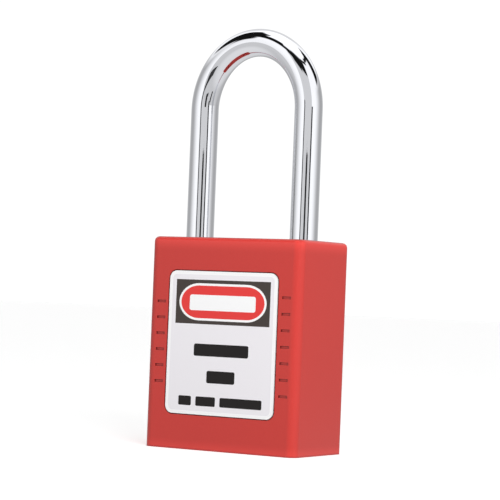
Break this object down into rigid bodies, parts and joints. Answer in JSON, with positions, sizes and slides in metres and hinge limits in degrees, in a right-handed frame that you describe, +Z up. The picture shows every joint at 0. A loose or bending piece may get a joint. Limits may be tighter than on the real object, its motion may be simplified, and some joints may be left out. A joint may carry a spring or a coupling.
{
  "type": "safety padlock",
  "caption": "Closed safety padlock with a moulded red body, a label in a shallow recess, a tall plated steel shackle and a keyhole underneath.",
  "frame": {"origin": "middle of the padlock's underside, on the plane that it stands on", "axes": "+Z up along the legs of the shackle, +X towards the toe leg (the one that comes free), front label facing -Y"},
  "size_m": [0.0374, 0.021, 0.0904],
  "materials": {
    "red_nylon": "moulded nylon with a soft sheen",
    "label": "laminated vinyl label",
    "chrome": "polished plating on hardened steel",
    "steel": "bright turned or drawn steel",
    "zinc": "zinc alloy as cast",
    "brass": "machined"
  },
  "bodies": {
    "body": {"body_shell": "red_nylon", "bottom_cover": "red_nylon", "cover_screw": "steel", "label_front": "label", "label_back": "label", "cylinder_housing": "zinc", "chamber_cap": "brass", "bolt_guide": "zinc", "shackle_spring": "steel", "pin_spring_1": "steel", "pin_spring_2": "steel", "pin_spring_3": "steel", "pin_spring_4": "steel", "pin_spring_5": "steel", "pin_spring_6": "steel"},
    "shackle": {"shackle": "chrome", "shackle_ring": "steel"},
    "plug": {"plug": "brass", "plug_ring": "steel", "tailpiece": "steel"},
    "bolt": {"locking_bolt": "steel"},
    "key_pin_1": {"key_pin_1": "brass"},
    "key_pin_2": {"key_pin_2": "brass"},
    "key_pin_3": {"key_pin_3": "brass"},
    "key_pin_4": {"key_pin_4": "brass"},
    "key_pin_5": {"key_pin_5": "brass"},
    "key_pin_6": {"key_pin_6": "brass"},
    "driver_pin_1": {"driver_pin_1": "steel"},
    "driver_pin_2": {"driver_pin_2": "steel"},
    "driver_pin_3": {"driver_pin_3": "steel"},
    "driver_pin_4": {"driver_pin_4": "steel"},
    "driver_pin_5": {"driver_pin_5": "steel"},
    "driver_pin_6": {"driver_pin_6": "steel"}
  },
  "joints": [
    {"name": "shackle_lift", "type": "slide", "parent": "body", "child": "shackle", "axis": [0, 0, 1], "range_m": [0, 0.013], "deforming": ["shackle_spring"]},
    {"name": "plug_turn", "type": "hinge", "parent": "body", "child": "plug", "pos_m": [0, -0.0021, 0], "axis": [0, 0, 1], "range_deg": [-90, 0]},
    {"name": "bolt_slide", "type": "slide", "parent": "body", "child": "bolt", "axis": [1, 0, 0], "range_m": [0, 0.00283]},
    {"name": "key_pin_1_slide", "type": "slide", "parent": "plug", "child": "key_pin_1", "axis": [1, 0, 0], "range_m": [0, 0.0014]},
    {"name": "key_pin_2_slide", "type": "slide", "parent": "plug", "child": "key_pin_2", "axis": [1, 0, 0], "range_m": [0, 0.0008]},
    {"name": "key_pin_3_slide", "type": "slide", "parent": "plug", "child": "key_pin_3", "axis": [1, 0, 0], "range_m": [0, 0.0018]},
    {"name": "key_pin_4_slide", "type": "slide", "parent": "plug", "child": "key_pin_4", "axis": [1, 0, 0], "range_m": [0, 0.001]},
    {"name": "key_pin_5_slide", "type": "slide", "parent": "plug", "child": "key_pin_5", "axis": [1, 0, 0], "range_m": [0, 0.0016]},
    {"name": "key_pin_6_slide", "type": "slide", "parent": "plug", "child": "key_pin_6", "axis": [1, 0, 0], "range_m": [0, 0.0012]},
    {"name": "driver_pin_1_slide", "type": "slide", "parent": "body", "child": "driver_pin_1", "axis": [0, 1, 0], "range_m": [0, 0.001], "stiffness_N_per_m": 150, "springref_m": -0.002, "deforming": ["pin_spring_1"]},
    {"name": "driver_pin_2_slide", "type": "slide", "parent": "body", "child": "driver_pin_2", "axis": [0, 1, 0], "range_m": [0, 0.001], "stiffness_N_per_m": 150, "springref_m": -0.002, "deforming": ["pin_spring_2"]},
    {"name": "driver_pin_3_slide", "type": "slide", "parent": "body", "child": "driver_pin_3", "axis": [0, 1, 0], "range_m": [0, 0.001], "stiffness_N_per_m": 150, "springref_m": -0.002, "deforming": ["pin_spring_3"]},
    {"name": "driver_pin_4_slide", "type": "slide", "parent": "body", "child": "driver_pin_4", "axis": [0, 1, 0], "range_m": [0, 0.001], "stiffness_N_per_m": 150, "springref_m": -0.002, "deforming": ["pin_spring_4"]},
    {"name": "driver_pin_5_slide", "type": "slide", "parent": "body", "child": "driver_pin_5", "axis": [0, 1, 0], "range_m": [0, 0.001], "stiffness_N_per_m": 150, "springref_m": -0.002, "deforming": ["pin_spring_5"]},
    {"name": "driver_pin_6_slide", "type": "slide", "parent": "body", "child": "driver_pin_6", "axis": [0, 1, 0], "range_m": [0, 0.001], "stiffness_N_per_m": 150, "springref_m": -0.002, "deforming": ["pin_spring_6"]}
  ],
  "couplings": [
    {"joint": "plug_turn", "follows": "bolt_slide", "rad_per_m": -555.4}
  ]
}
